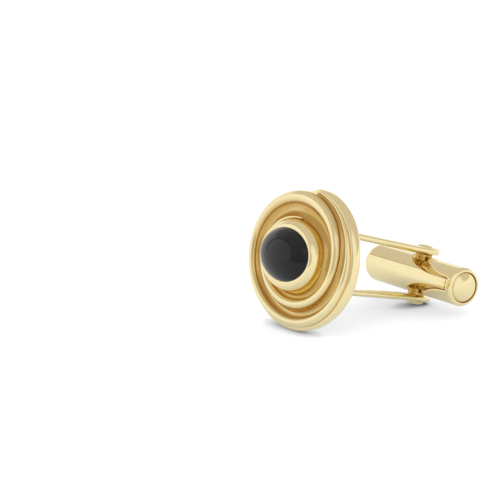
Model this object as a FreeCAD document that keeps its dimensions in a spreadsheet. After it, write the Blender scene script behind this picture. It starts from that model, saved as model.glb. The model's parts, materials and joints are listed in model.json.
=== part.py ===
import FreeCAD, Part
import math
import os
import Sketcher

# An oval gold cufflink: a face plate carrying one tapering swirl ridge and a stone in a bezel,
# two wire arms, and a toggle bar that swivels on a rivet between the arms' ends.
# Each piece is drawn in the cufflink's own axes (x along the face, y from the face to the toggle,
# z across the arms) and then laid down as it rests on a table, on its lower rim and lower rivet head.

doc = FreeCAD.newDocument("cufflink")
sheet = doc.addObject("Spreadsheet::Sheet", "Sizes")

sizes = {
    "face_long": 20.0,
    "face_short": 16.0,
    "face_drop": 0.33,
    "plate_edge": 1.2,
    "plate_round": 1.1,
    "dome_rise": 0.9,
    "stone_long": 9.8,
    "stone_short": 6.55,
    "stone_girdle": 1.2,
    "stone_lift": 0.7,
    "stone_dome": 2.2,
    "stone_offset": 0.37,
    "cup_long": 10.7,
    "cup_short": 8.3,
    "cup_top_long": 9.75,
    "cup_top_short": 6.86,
    "cup_floor": 0.25,
    "cup_wall": 0.2,
    "cup_lip": 1.42,
    "lip_round": 0.1,
    "cove_depth": 0.45,
    "solder_film": 0.02,
    "wire_dia": 0.68,
    "arm_root_height": 3.51,
    "arm_seat": 0.6,
    "arm_foot": 2.2,
    "paddle_thick": 0.72,
    "paddle_dia": 2.9,
    "rivet_reach": 16.75,
    "rivet_dia": 1.1,
    "rivet_flat_across": 0.98,
    "rivet_flat_tall": 1.1,
    "head_dia": 2.1,
    "head_tall": 0.5,
    "collar_dia": 2.0,
    "collar_flange": 0.42,
    "collar_neck_dia": 1.6,
    "toggle_dia": 4.55,
    "toggle_long": 17.34,
    "toggle_end_round": 1.3,
    "arm_gap": 0.2,
    "seat_half_height": 1.0,
    "seat_rim": 0.15,
    "scoop_radius": 31.0,
    "scoop_reach": 8.0,
    "tongue_half_height": 0.6,
    "tongue_gap": 0.45,
    "stem_dia": 3.4,
    "stem_start": 2.4,
    "run_gap": 0.03,
    "notch_radius": 12.3,
    "notch_wall": 0.25,
    "notch_half_tip": 0.78,
    "plug_dia": 3.6,
    "plug_depth": 0.62,
    "plug_dome": 0.3,
    "sleeve_round": 0.42,
    "bore_dia": 1.0,
    "plunger_gap": 0.03,
    "plunger_long": 1.3,
    "plunger_tail": 0.7,
    "plunger_tail_dia": 0.44,
    "spring_room": 3.3,
    "spring_wire": 0.14,
    "spring_mean_dia": 0.72,
}
spring_turns = 5
spring_wire_sides = 8

rules = {
    "face_half_long": "face_long / 2",
    "face_half_short": "face_short / 2",
    "dome_level": "plate_edge + dome_rise",
    "stone_height": "stone_offset - face_drop",
    "stone_level": "dome_level + stone_lift",
    "stone_base": "stone_level - stone_girdle",
    "cup_base": "stone_base - cup_floor",
    "cup_sink": "dome_level - cup_base",
    "cup_top": "dome_level + cup_lip",
    "box_long": "stone_long + 2 * cup_wall",
    "box_short": "stone_short + 2 * cup_wall",
    "toggle_radius": "toggle_dia / 2",
    "toggle_half": "toggle_long / 2",
    "arm_inner": "toggle_radius + arm_gap",
    "arm_end_height": "arm_inner + paddle_thick / 2",
    "head_seat": "arm_inner + paddle_thick",
    "head_top": "head_seat + head_tall",
    "head_curve": "(head_dia ^ 2 / 4 + head_tall ^ 2) / (2 * head_tall)",
    "head_centre": "head_top - head_curve",
    "head_brim_angle": "asin(1 - head_tall / head_curve)",
    "collar_foot": "seat_half_height + run_gap",
    "collar_tall": "arm_inner - collar_foot",
    "pivot_bore_dia": "rivet_dia + 2 * run_gap",
    "sleeve_end": "toggle_half - plug_dome",
    "plug_seat": "sleeve_end - plug_depth",
    "notch_reach": "plug_seat - notch_wall",
    "tongue_reach": "notch_reach - tongue_gap",
    "stem_end": "plug_seat - run_gap",
    "scoop_level": "tongue_half_height + scoop_radius",
    "notch_level": "notch_half_tip + notch_radius",
    "notch_mouth": "notch_level - sqrt(notch_radius ^ 2 - notch_reach ^ 2)",
    "plug_curve": "(plug_dia ^ 2 / 4 + plug_dome ^ 2) / (2 * plug_dome)",
    "plug_brim_angle": "asin(1 - plug_dome / plug_curve)",
    "plunger_nose": "rivet_dia / 2 + plunger_gap",
    "plunger_back": "plunger_nose + plunger_long",
    "spring_end": "plunger_back + spring_room",
    "rest_run": "rivet_reach + plate_round",
    "rest_drop": "face_drop + face_half_short - plate_round",
    "rest_rise": "rest_drop - head_centre",
    "rest_span": "sqrt(rest_run ^ 2 + rest_rise ^ 2)",
    "rest_tilt": "atan(rest_rise / rest_run) - asin((head_curve - plate_round) / rest_span)",
    "rest_lift": "rest_drop * cos(rest_tilt) - plate_round * sin(rest_tilt) + plate_round",
    "stone_reach": "sqrt((stone_dome * cos(rest_tilt)) ^ 2 + (stone_short / 2 * sin(rest_tilt)) ^ 2)",
    "front_edge": "stone_height * sin(rest_tilt) - stone_level * cos(rest_tilt) - stone_reach",
    "back_edge": "rivet_reach * cos(rest_tilt) + toggle_radius",
    "face_y": "-(front_edge + back_edge) / 2",
    "pivot_y": "face_y + rivet_reach * cos(rest_tilt)",
    "pivot_z": "rest_lift - rivet_reach * sin(rest_tilt)",
}

row = 1
for alias, value in sizes.items():
    sheet.set(f"A{row}", alias)
    sheet.set(f"B{row}", str(value))
    sheet.setAlias(f"B{row}", alias)
    row += 1
for alias, rule in rules.items():
    sheet.set(f"A{row}", alias)
    sheet.set(f"B{row}", "=" + rule)
    sheet.setAlias(f"B{row}", alias)
    row += 1
doc.recompute()

pieces = []


def value_of(rule):
    value = sheet.evalExpression(rule)
    return float(getattr(value, "Value", value))


def bound(rule):
    words = []
    for word in rule.replace("(", " ( ").replace(")", " ) ").split():
        words.append("Sizes." + word if word in sizes or word in rules else word)
    return " ".join(words)


def bind(item, **links):
    for name, rule in links.items():
        item.setExpression(name.replace("__", "."), bound(rule))


def lay_down(piece, y_rule, z_rule):
    spot = f"vector(0; Sizes.{y_rule}; Sizes.{z_rule})"
    turn = "rotation(vector(1; 0; 0); -Sizes.rest_tilt)"
    piece.setExpression("Placement", f"placement({spot}; {turn})")


def new_body(label, at_pivot):
    body = doc.addObject("PartDesign::Body", label)
    body.Label = label
    if at_pivot:
        lay_down(body, "pivot_y", "pivot_z")
    else:
        lay_down(body, "face_y", "rest_lift")
    pieces.append(body)
    return body


def new_sketch(body, role, offset_rule):
    sketch = body.newObject("Sketcher::SketchObject", body.Label + "_sketch")
    plane = [item for item in body.Origin.OriginFeatures if item.Role == role][0]
    sketch.AttachmentSupport = [(plane, "")]
    sketch.MapMode = "FlatFace"
    if offset_rule:
        bind(sketch, AttachmentOffset__Base__z=offset_rule)
    return sketch


def name_size(sketch, constraint, rule):
    index = sketch.addConstraint(constraint)
    sketch.setExpression(f"Constraints[{index}]", bound(rule))


def draw_ellipse(sketch, long_rule, short_rule, height_rule):
    half_long = value_of(long_rule) / 2
    half_short = value_of(short_rule) / 2
    centre = FreeCAD.Vector(0, value_of(height_rule), 0)
    side = centre + FreeCAD.Vector(half_long, 0, 0)
    top = centre + FreeCAD.Vector(0, half_short, 0)
    oval = sketch.addGeometry(Part.Ellipse(side, top, centre))
    sketch.exposeInternalGeometry(oval)
    pin_point(sketch, oval, 3, "0", height_rule)
    sketch.addConstraint(Sketcher.Constraint("Horizontal", oval + 1))
    name_size(sketch, Sketcher.Constraint("Distance", oval + 1, 2 * half_long), long_rule)
    name_size(sketch, Sketcher.Constraint("Distance", oval + 2, 2 * half_short), short_rule)


def draw_circle(sketch, x_rule, y_rule, dia_rule):
    centre = FreeCAD.Vector(value_of(x_rule), value_of(y_rule), 0)
    radius = value_of(dia_rule) / 2
    ring = sketch.addGeometry(Part.Circle(centre, FreeCAD.Vector(0, 0, 1), radius))
    pin_point(sketch, ring, 3, x_rule, y_rule)
    name_size(sketch, Sketcher.Constraint("Diameter", ring, 2 * radius), dia_rule)


def pin_point(sketch, item, end, x_rule, y_rule):
    for kind, axis, rule in (("DistanceX", -2, x_rule), ("DistanceY", -1, y_rule)):
        distance = value_of(rule)
        if distance == 0:
            sketch.addConstraint(Sketcher.Constraint("PointOnObject", item, end, axis))
        elif distance > 0:
            name_size(sketch, Sketcher.Constraint(kind, -1, 1, item, end, distance), rule)
        else:
            name_size(sketch, Sketcher.Constraint(kind, item, end, -1, 1, -distance), f"-1 * ( {rule} )")


def draw_lines(sketch, corners, closed):
    points = [FreeCAD.Vector(value_of(x_rule), value_of(y_rule), 0) for x_rule, y_rule in corners]
    count = len(corners) if closed else len(corners) - 1
    lines = []
    for index in range(count):
        after = points[(index + 1) % len(points)]
        lines.append(sketch.addGeometry(Part.LineSegment(points[index], after)))
    for index in range(1, count):
        sketch.addConstraint(Sketcher.Constraint("Coincident", lines[index - 1], 2, lines[index], 1))
    if closed:
        sketch.addConstraint(Sketcher.Constraint("Coincident", lines[-1], 2, lines[0], 1))
    for index, line in enumerate(lines):
        pin_point(sketch, line, 1, *corners[index])
    if not closed:
        pin_point(sketch, lines[-1], 2, *corners[-1])


def draw_notch(sketch):
    reach = value_of("notch_reach")
    level = value_of("notch_level")
    radius = value_of("notch_radius")
    spread = math.asin(reach / radius)
    quarter_turn = math.pi / 2
    axis = FreeCAD.Vector(0, 0, 1)
    upper_circle = Part.Circle(FreeCAD.Vector(reach, level, 0), axis, radius)
    lower_circle = Part.Circle(FreeCAD.Vector(reach, -level, 0), axis, radius)
    upper = sketch.addGeometry(Part.ArcOfCircle(upper_circle, 3 * quarter_turn - spread, 3 * quarter_turn))
    lower = sketch.addGeometry(Part.ArcOfCircle(lower_circle, quarter_turn, quarter_turn + spread))
    tip = value_of("notch_half_tip")
    mouth = value_of("notch_mouth")
    end_line = Part.LineSegment(FreeCAD.Vector(reach, tip, 0), FreeCAD.Vector(reach, -tip, 0))
    mouth_line = Part.LineSegment(FreeCAD.Vector(0, -mouth, 0), FreeCAD.Vector(0, mouth, 0))
    end = sketch.addGeometry(end_line)
    back = sketch.addGeometry(mouth_line)
    sketch.addConstraint(Sketcher.Constraint("Coincident", upper, 2, end, 1))
    sketch.addConstraint(Sketcher.Constraint("Coincident", end, 2, lower, 1))
    sketch.addConstraint(Sketcher.Constraint("Coincident", lower, 2, back, 1))
    sketch.addConstraint(Sketcher.Constraint("Coincident", back, 2, upper, 1))
    pin_point(sketch, upper, 3, "notch_reach", "notch_level")
    pin_point(sketch, lower, 3, "notch_reach", "-1 * notch_level")
    pin_point(sketch, end, 1, "notch_reach", "notch_half_tip")
    pin_point(sketch, end, 2, "notch_reach", "-1 * notch_half_tip")
    sketch.addConstraint(Sketcher.Constraint("PointOnObject", back, 1, -2))
    sketch.addConstraint(Sketcher.Constraint("PointOnObject", back, 2, -2))


def extrude(body, kind, sketch, length_rule, backwards=False):
    feature = body.newObject("PartDesign::" + kind, body.Label + "_" + kind.lower())
    feature.Profile = sketch
    feature.Reversed = backwards
    bind(feature, Length=length_rule)
    sketch.Visibility = False
    doc.recompute()
    return feature


def taper(body, foot_sketch, top_sketch):
    loft = body.newObject("PartDesign::AdditiveLoft", body.Label + "_taper")
    loft.Profile = foot_sketch
    loft.Sections = [(top_sketch, [""])]
    loft.Ruled = True
    doc.recompute()
    return loft


def add_rod(body, kind, along, dia_rule, length_rule, start_rule, y_rule="0", z_rule="0"):
    rod = body.newObject(f"PartDesign::{kind}Cylinder", body.Label + "_rod")
    turns = {
        "x": FreeCAD.Rotation(FreeCAD.Vector(0, 1, 0), 90),
        "y": FreeCAD.Rotation(FreeCAD.Vector(1, 0, 0), -90),
        "z": FreeCAD.Rotation(),
    }
    rod.Placement = FreeCAD.Placement(FreeCAD.Vector(), turns[along])
    bind(rod, Radius=f"( {dia_rule} ) / 2", Height=length_rule)
    bind(rod, **{f"Placement__Base__{along}": start_rule})
    others = [axis for axis in "xyz" if axis != along]
    for axis, rule in zip(others, (y_rule, z_rule)):
        if rule != "0":
            bind(rod, **{f"Placement__Base__{axis}": rule})
    doc.recompute()
    return rod


def add_cap(body, turn, curve_rule, brim_rule, axis, centre_rule):
    cap = body.newObject("PartDesign::AdditiveSphere", body.Label + "_cap")
    cap.Placement = FreeCAD.Placement(FreeCAD.Vector(), turn)
    bind(cap, Radius=curve_rule, Angle1=brim_rule)
    bind(cap, **{f"Placement__Base__{axis}": centre_rule})
    doc.recompute()
    return cap


def add_dome(body, kind):
    dome = body.newObject(f"PartDesign::{kind}Ellipsoid", body.Label + "_dome")
    dome.Placement = FreeCAD.Placement(FreeCAD.Vector(), FreeCAD.Rotation(FreeCAD.Vector(1, 0, 0), 90))
    dome.Angle1 = 0
    bind(dome, Radius1="stone_dome", Radius2="stone_long / 2", Radius3="stone_short / 2")
    bind(dome, Placement__Base__y="-1 * stone_level", Placement__Base__z="stone_height")
    doc.recompute()
    return dome


def round_edges(body, feature, edge_names, radius_rule):
    fillet = body.newObject("PartDesign::Fillet", body.Label + "_fillet")
    fillet.Base = (feature, edge_names)
    bind(fillet, Radius=radius_rule)
    doc.recompute()
    return fillet


def edges_at(feature, axis, place):
    names = []
    for index, edge in enumerate(feature.Shape.Edges):
        box = edge.BoundBox
        low = getattr(box, axis + "Min")
        high = getattr(box, axis + "Max")
        slack = value_of("spring_wire") / 10
        if abs(low - place) < slack and abs(high - place) < slack:
            names.append(f"Edge{index + 1}")
    return names


# The oval back plate, rounded behind and rising in front to a flat that is sunk for the bezel cup,
# with two blind holes behind that the arms are soldered into.
plate = new_body("plate_blank", at_pivot=False)
plate_sketch = new_sketch(plate, "XZ_Plane", None)
draw_ellipse(plate_sketch, "face_long", "face_short", "-1 * face_drop")
plate_pad = extrude(plate, "Pad", plate_sketch, "plate_edge")
round_edges(plate, plate_pad, edges_at(plate_pad, "Y", 0), "plate_round")
rise_foot_sketch = new_sketch(plate, "XZ_Plane", "plate_edge")
draw_ellipse(rise_foot_sketch, "face_long", "face_short", "-1 * face_drop")
rise_top_sketch = new_sketch(plate, "XZ_Plane", "dome_level")
draw_ellipse(rise_top_sketch, "cup_long", "cup_short", "stone_height")
taper(plate, rise_foot_sketch, rise_top_sketch)
sink_sketch = new_sketch(plate, "XZ_Plane", "cup_base")
draw_ellipse(sink_sketch, "box_long", "box_short", "stone_height")
extrude(plate, "Pocket", sink_sketch, "cup_sink", backwards=True)
for side in (1, -1):
    add_rod(plate, "Subtractive", "y", "wire_dia", "arm_seat", "-1 * arm_seat", "0", f"{side} * arm_root_height")

# The bezel cup: an oval box sunk in the plate under a leaning wall, whose lip follows the stone's
# dome inwards.
cup = new_body("bezel_cup", at_pivot=False)
box_sketch = new_sketch(cup, "XZ_Plane", "cup_base")
draw_ellipse(box_sketch, "box_long", "box_short", "stone_height")
extrude(cup, "Pad", box_sketch, "cup_sink")
wall_foot_sketch = new_sketch(cup, "XZ_Plane", "dome_level")
draw_ellipse(wall_foot_sketch, "cup_long", "cup_short", "stone_height")
wall_top_sketch = new_sketch(cup, "XZ_Plane", "cup_top")
draw_ellipse(wall_top_sketch, "cup_top_long", "cup_top_short", "stone_height")
cup_wall = taper(cup, wall_foot_sketch, wall_top_sketch)
round_edges(cup, cup_wall, edges_at(cup_wall, "Y", -value_of("cup_top")), "lip_round")
seat_sketch = new_sketch(cup, "XZ_Plane", "stone_base")
draw_ellipse(seat_sketch, "stone_long", "stone_short", "stone_height")
extrude(cup, "Pocket", seat_sketch, "stone_girdle", backwards=True)
add_dome(cup, "Subtractive")

# The oval cabochon: a short straight girdle under a high dome.
stone = new_body("onyx_cabochon", at_pivot=False)
stone_sketch = new_sketch(stone, "XZ_Plane", "stone_base")
draw_ellipse(stone_sketch, "stone_long", "stone_short", "stone_height")
extrude(stone, "Pad", stone_sketch, "stone_girdle")
add_dome(stone, "Additive")

# The swirl: one half-round ridge that leaves a point beside the bezel, winds outwards twice round
# the stone while it widens, becomes the outer rim and ends in a point at the top of the face.
# Shares run from the bezel's foot (0) to the face's outline (1), one pair for each quarter turn.
inner_edge_shares = (0.03, 0.13, 0.16, 0.22, 0.49, 0.66, 0.64, 0.71, 0.97)
outer_edge_shares = (0.09, 0.32, 0.41, 0.43, 0.92, 1.00, 1.00, 1.00, 1.02)
crest_shares = (0.50, 0.50, 0.50, 0.50, 0.38, 0.32, 0.28, 0.24, 0.30)
tip_lead_share = 0.11
steps_in_quarter = 9


def eased(shares, place):
    index = min(int(place), len(shares) - 2)
    part = place - index
    before = shares[max(index - 1, 0)]
    start = shares[index]
    end = shares[index + 1]
    after = shares[min(index + 2, len(shares) - 1)]
    start_slope = (end - before) / 2
    end_slope = (after - start) / 2
    bend = 3 * (end - start) - 2 * start_slope - end_slope
    twist = start_slope + end_slope - 2 * (end - start)
    return start + part * (start_slope + part * (bend + part * twist))


def on_rise(share, angle, lift):
    x_half = value_of("cup_long / 2") * (1 - share) + value_of("face_half_long") * share
    z_half = value_of("cup_short / 2") * (1 - share) + value_of("face_half_short") * share
    level = value_of("dome_level") * (1 - share) + value_of("plate_edge") * share + lift
    centre = value_of("stone_height") * (1 - share) - value_of("face_drop") * share
    return FreeCAD.Vector(x_half * math.cos(angle), -level, centre + z_half * math.sin(angle))


def bowed(inner_foot, outer_foot, height):
    across = outer_foot - inner_foot
    outwards = FreeCAD.Vector(across.x, 0, across.z).normalize()
    upwards = FreeCAD.Vector(0, -1, 0) * across.dot(outwards) + outwards * across.y
    middle = (inner_foot + outer_foot) / 2 + upwards.normalize() * height
    arc = Part.Arc(inner_foot, middle, outer_foot).toShape()
    foot = Part.LineSegment(outer_foot, inner_foot).toShape()
    return Part.Wire([arc, foot])


swirl_steps = steps_in_quarter * (len(inner_edge_shares) - 1)
swirl_sections = []
for step in range(swirl_steps + 1):
    quarter = step / steps_in_quarter
    tip_lead = tip_lead_share * max(0, 1 - quarter)
    swirl_angle = (1 + quarter - tip_lead) * math.pi / 2
    film = value_of("solder_film")
    inner_foot = on_rise(eased(inner_edge_shares, quarter), swirl_angle, film)
    outer_foot = on_rise(eased(outer_edge_shares, quarter), swirl_angle, film)
    crest_height = eased(crest_shares, quarter) * inner_foot.distanceToPoint(outer_foot)
    swirl_sections.append(bowed(inner_foot, outer_foot, crest_height))
swirl = doc.addObject("Part::Feature", "swirl_ridge")
swirl.Label = "swirl_ridge"
swirl.Shape = Part.makeLoft(swirl_sections, True, True)
lay_down(swirl, "face_y", "rest_lift")
pieces.append(swirl)

# The cove: the hollow that runs along the ridge's inner side, cut in the plate from the bezel's foot
# outwards, and then between one winding and the next.
cove_depth_share = 0.32
cove_first_step = 4
cove_last_step = swirl_steps - 3
cove_sections = []
for step in range(cove_first_step, cove_last_step + 1):
    quarter = step / steps_in_quarter
    cove_angle = (1 + quarter) * math.pi / 2
    winding = quarter - 4
    if winding < 1:
        winding = (winding + tip_lead_share) / (1 + tip_lead_share)
    tip_weight = max(0, min(1, winding * steps_in_quarter + 1))
    film = value_of("solder_film")
    inner_foot = on_rise(tip_weight * eased(outer_edge_shares, max(0, winding)), cove_angle, film)
    outer_foot = on_rise(eased(inner_edge_shares, quarter), cove_angle, film)
    depth = min(value_of("cove_depth"), cove_depth_share * inner_foot.distanceToPoint(outer_foot))
    cove_sections.append(bowed(inner_foot, outer_foot, -depth - film))
cove = doc.addObject("Part::Feature", "cove")
cove.Shape = Part.makeLoft(cove_sections, True, True)
lay_down(cove, "face_y", "rest_lift")
carved = doc.addObject("Part::Cut", "face_plate")
carved.Label = "face_plate"
carved.Base = plate
carved.Tool = cove
pieces[pieces.index(plate)] = carved

# The arms: round wires that leave the plate square, lean in and end in drilled paddles.
for arm_name, side in (("upper_arm", 1), ("lower_arm", -1)):
    arm = new_body(arm_name, at_pivot=False)
    wire_sketch = new_sketch(arm, "XZ_Plane", "arm_seat")
    draw_circle(wire_sketch, "0", f"{side} * arm_root_height", "wire_dia")
    path = new_sketch(arm, "YZ_Plane", None)
    root = f"{side} * arm_root_height"
    end = f"{side} * arm_end_height"
    path_points = [
        ("-1 * arm_seat", root),
        ("arm_foot", root),
        ("rivet_reach - paddle_dia", end),
        ("rivet_reach - paddle_dia / 2 + wire_dia / 2", end),
    ]
    draw_lines(path, path_points, closed=False)
    wire = arm.newObject("PartDesign::AdditivePipe", arm_name + "_wire")
    wire.Profile = wire_sketch
    wire.Spine = (path, ["Edge1", "Edge2", "Edge3"])
    wire.Transition = "Right corner"
    doc.recompute()
    low = "arm_inner" if side > 0 else "-1 * head_seat"
    add_rod(arm, "Additive", "z", "paddle_dia", "paddle_thick", low, "0", "rivet_reach")
    add_rod(arm, "Subtractive", "z", "rivet_dia", "paddle_thick", low, "0", "rivet_reach")

# The rivet: a pin with two domed heads and four shallow flats where the plunger bears on it.
rivet = new_body("pivot_rivet", at_pivot=True)
add_rod(rivet, "Additive", "z", "rivet_dia", "2 * head_seat", "-1 * head_seat")
upright = FreeCAD.Rotation()
turned = FreeCAD.Rotation(FreeCAD.Vector(1, 0, 0), 180)
add_cap(rivet, upright, "head_curve", "head_brim_angle", "z", "head_centre")
add_cap(rivet, turned, "head_curve", "head_brim_angle", "z", "-1 * head_centre")
flat_sketch = new_sketch(rivet, "XY_Plane", "-1 * rivet_flat_tall / 2")
draw_circle(flat_sketch, "0", "0", "2 * rivet_dia")
flat_half = "rivet_flat_across / 2"
flat_low = "-1 * rivet_flat_across / 2"
flat_corners = [(flat_low, flat_low), (flat_half, flat_low), (flat_half, flat_half), (flat_low, flat_half)]
draw_lines(flat_sketch, flat_corners, closed=True)
extrude(rivet, "Pocket", flat_sketch, "rivet_flat_tall", backwards=True)

# The flanged collars that space the arms from the toggle's seats.
for collar_name, side in (("upper_collar", 1), ("lower_collar", -1)):
    collar = new_body(collar_name, at_pivot=True)
    neck_start = "collar_foot" if side > 0 else "-1 * arm_inner"
    flange_start = "arm_inner - collar_flange" if side > 0 else "-1 * arm_inner"
    add_rod(collar, "Additive", "z", "collar_neck_dia", "collar_tall", neck_start)
    add_rod(collar, "Additive", "z", "collar_dia", "collar_flange", flange_start)
    add_rod(collar, "Subtractive", "z", "rivet_dia", "collar_tall", neck_start)

# The toggle's body: a bar with a rounded end, scooped above and below to leave a tapering tongue,
# with a round seat for each collar and a stem inside the tongue that carries the sleeve.
toggle = new_body("toggle_body", at_pivot=True)
bar = add_rod(toggle, "Additive", "x", "toggle_dia", "toggle_half + tongue_reach", "-1 * toggle_half")
round_edges(toggle, bar, edges_at(bar, "X", -value_of("toggle_half")), "toggle_end_round")
for side in (1, -1):
    level = f"{side} * scoop_level"
    add_rod(toggle, "Subtractive", "y", "2 * scoop_radius", "toggle_dia", "-1 * toggle_radius", "scoop_reach", level)
    floor = "seat_half_height" if side > 0 else "-1 * toggle_radius"
    add_rod(toggle, "Subtractive", "z", "collar_dia + 2 * seat_rim", "toggle_radius - seat_half_height", floor)
add_rod(toggle, "Additive", "x", "stem_dia", "stem_end - stem_start", "stem_start")
add_rod(toggle, "Subtractive", "z", "pivot_bore_dia", "toggle_dia", "-1 * toggle_radius")
add_rod(toggle, "Subtractive", "x", "bore_dia", "stem_end", "0")

# The sleeve: a round fork whose two lobes close over the tongue, parted by a flared notch.
sleeve = new_body("toggle_sleeve", at_pivot=True)
tube = add_rod(sleeve, "Additive", "x", "toggle_dia", "sleeve_end", "0")
round_edges(sleeve, tube, edges_at(tube, "X", value_of("sleeve_end")), "sleeve_round")
notch_sketch = new_sketch(sleeve, "XZ_Plane", "-1 * toggle_radius")
draw_notch(notch_sketch)
extrude(sleeve, "Pocket", notch_sketch, "toggle_dia", backwards=True)
add_rod(sleeve, "Subtractive", "x", "stem_dia + 2 * run_gap", "plug_seat", "0")
add_rod(sleeve, "Subtractive", "x", "plug_dia", "sleeve_end - plug_seat", "plug_seat")

# The domed plug that closes the sleeve, with a spigot pressed into the stem's bore.
plug = new_body("end_plug", at_pivot=True)
add_rod(plug, "Additive", "x", "plug_dia", "sleeve_end - plug_seat", "plug_seat")
along = FreeCAD.Rotation(FreeCAD.Vector(0, 1, 0), 90)
add_cap(plug, along, "plug_curve", "plug_brim_angle", "x", "toggle_half - plug_curve")
add_rod(plug, "Additive", "x", "bore_dia", "plug_seat - spring_end", "spring_end")

# The detent: a plunger in the stem's bore that a coil spring presses against the rivet.
plunger = new_body("detent_plunger", at_pivot=True)
add_rod(plunger, "Additive", "x", "bore_dia - 2 * run_gap", "plunger_long", "plunger_nose")
add_rod(plunger, "Additive", "x", "plunger_tail_dia", "plunger_long + plunger_tail", "plunger_nose")


def coil_place(turns):
    angle = turns * 2 * math.pi
    radius = value_of("spring_mean_dia / 2")
    start = value_of("plunger_back + spring_wire / 2")
    pitch = value_of("spring_room - spring_wire") / spring_turns
    spot = FreeCAD.Vector(start + pitch * turns, radius * math.sin(angle), radius * math.cos(angle))
    around = 2 * math.pi * radius
    heading = FreeCAD.Vector(pitch, around * math.cos(angle), -around * math.sin(angle)).normalize()
    return spot, heading


def arc_under(start, knee, end):
    spread = start.distanceToPoint(end) / start.distanceToPoint(knee) / 2
    middle = (knee * spread + (start + end) / 2) / (1 + spread)
    return Part.Arc(start, middle, end).toShape()


coil_arcs = []
for half_turn in range(2 * spring_turns):
    start, start_heading = coil_place(half_turn / 2)
    end, end_heading = coil_place((half_turn + 1) / 2)
    chord = end - start
    both = start_heading + end_heading
    slack = 4 - both.dot(both)
    along = chord.dot(both)
    reach = (math.sqrt(along * along + slack * chord.dot(chord)) - along) / slack
    start_knee = start + start_heading * reach
    end_knee = end - end_heading * reach
    meeting = (start_knee + end_knee) / 2
    coil_arcs.append(arc_under(start, start_knee, meeting))
    coil_arcs.append(arc_under(meeting, end_knee, end))
coil_start, coil_heading = coil_place(0)
wire_across = coil_heading.cross(FreeCAD.Vector(0, 0, 1)).normalize() * value_of("spring_wire / 2")
wire_turn = FreeCAD.Rotation(coil_heading, 360 / spring_wire_sides)
wire_corners = [coil_start + wire_across]
for side in range(spring_wire_sides):
    wire_across = wire_turn.multVec(wire_across)
    wire_corners.append(coil_start + wire_across)
spring = doc.addObject("Part::Feature", "detent_spring")
spring.Label = "detent_spring"
spring.Shape = Part.Wire(coil_arcs).makePipe(Part.Face(Part.makePolygon(wire_corners)))
lay_down(spring, "pivot_y", "pivot_z")
pieces.append(spring)

doc.recompute()
for item in doc.Objects:
    if "Invalid" in item.State or "Error" in item.State:
        raise RuntimeError(f"{item.Label} did not compute: {item.State}")
os.makedirs("parts", exist_ok=True)
for piece in pieces:
    if piece.Shape.isNull() or not piece.Shape.isValid():
        raise RuntimeError(f"{piece.Label} has no valid shape")
    piece.Shape.exportStep(f"parts/{piece.Label}.step")
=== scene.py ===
import json
import math
import bmesh
import bpy
from mathutils import Matrix, Vector


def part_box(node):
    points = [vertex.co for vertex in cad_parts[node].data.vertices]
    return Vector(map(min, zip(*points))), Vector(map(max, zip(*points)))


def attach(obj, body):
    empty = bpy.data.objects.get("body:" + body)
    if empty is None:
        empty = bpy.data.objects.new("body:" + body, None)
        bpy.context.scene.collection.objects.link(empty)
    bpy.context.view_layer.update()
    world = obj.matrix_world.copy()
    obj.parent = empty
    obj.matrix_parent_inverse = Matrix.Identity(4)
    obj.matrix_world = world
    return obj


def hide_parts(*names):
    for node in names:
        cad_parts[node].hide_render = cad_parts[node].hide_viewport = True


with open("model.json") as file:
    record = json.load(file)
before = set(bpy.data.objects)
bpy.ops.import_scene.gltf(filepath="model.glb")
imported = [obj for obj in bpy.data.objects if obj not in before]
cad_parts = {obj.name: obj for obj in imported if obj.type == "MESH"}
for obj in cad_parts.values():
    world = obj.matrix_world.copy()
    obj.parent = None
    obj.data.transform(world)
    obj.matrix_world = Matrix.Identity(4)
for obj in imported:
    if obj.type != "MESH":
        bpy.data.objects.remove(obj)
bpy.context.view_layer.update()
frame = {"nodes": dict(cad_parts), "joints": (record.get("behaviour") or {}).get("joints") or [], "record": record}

# The face plate: one cast oval of yellow gold, flat and rounded behind and polished to a mirror by hand.
# Its front rises towards the stone and is hollowed into coves wherever the swirl does not stand on it.
mm = 0.001
rest_face = next(mount for mount in frame["record"]["mounts"] if mount["name"] == "back_rest")
tilt = math.atan2(-rest_face["axis"][2], rest_face["axis"][1])
face_place = Matrix.Translation(rest_face["pos_m"]) @ Matrix.Rotation(-tilt, 4, "X")
face_turn = math.radians(6.5)
plate_place = face_place @ Matrix.Rotation(face_turn, 4, "Y")
plate_low, plate_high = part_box("face_plate")
face_half_long = (plate_high.x - plate_low.x) / 2
face_half_short = 8.0 * mm
face_drop = 0.33 * mm
plate_edge = 1.2 * mm
plate_round = 1.1 * mm
side_round = 0.5 * mm
side_level = 0.7 * mm
dome_level = 2.1 * mm
foot_half_long = 5.35 * mm
foot_half_short = 4.15 * mm
stone_height = 0.04 * mm
cup_sink = 0.75 * mm
merge_span = 0.0005 * mm
crease = math.radians(38)
face_steps = 480
cove_steps = 110
round_steps = 10
side_steps = 2 * round_steps
# Places along the swirl are counted in quarter turns. Shares run from 0 at the cup's foot to 1 at the
# edge of the oval.
turn_quarters = 4
inner_edge_shares = (0.03, 0.05, 0.15, 0.27, 0.51, 0.66, 0.66, 0.70, 1.02)
outer_edge_shares = (0.09, 0.21, 0.40, 0.50, 0.93, 0.93, 0.92, 0.90, 1.09)
outline_shares = (0.96, 1.01, 1.00, 1.00, 1.15)
swirl_quarters = len(inner_edge_shares) - 1
tip_start = 1.05
tip_blend = 0.33
tip_lead_share = 0.11
tip_fullness = 0.09
tip_fullness_scale = 27 / 4
tip_lean = 0.4 * mm
tip_lean_span = 0.6
cove_share = 0.42
cove_most = 0.6 * mm
cove_fullness = 0.7
# In the coves the gold is painted with shade: darkest along their edges, lighter in the middle of the wider coves,
# and kept darker on the left side.
dark_edge = 0.15 * mm
dark_fade = 0.6 * mm
open_light = 0.55
left_painted_shade = 0.8
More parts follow.
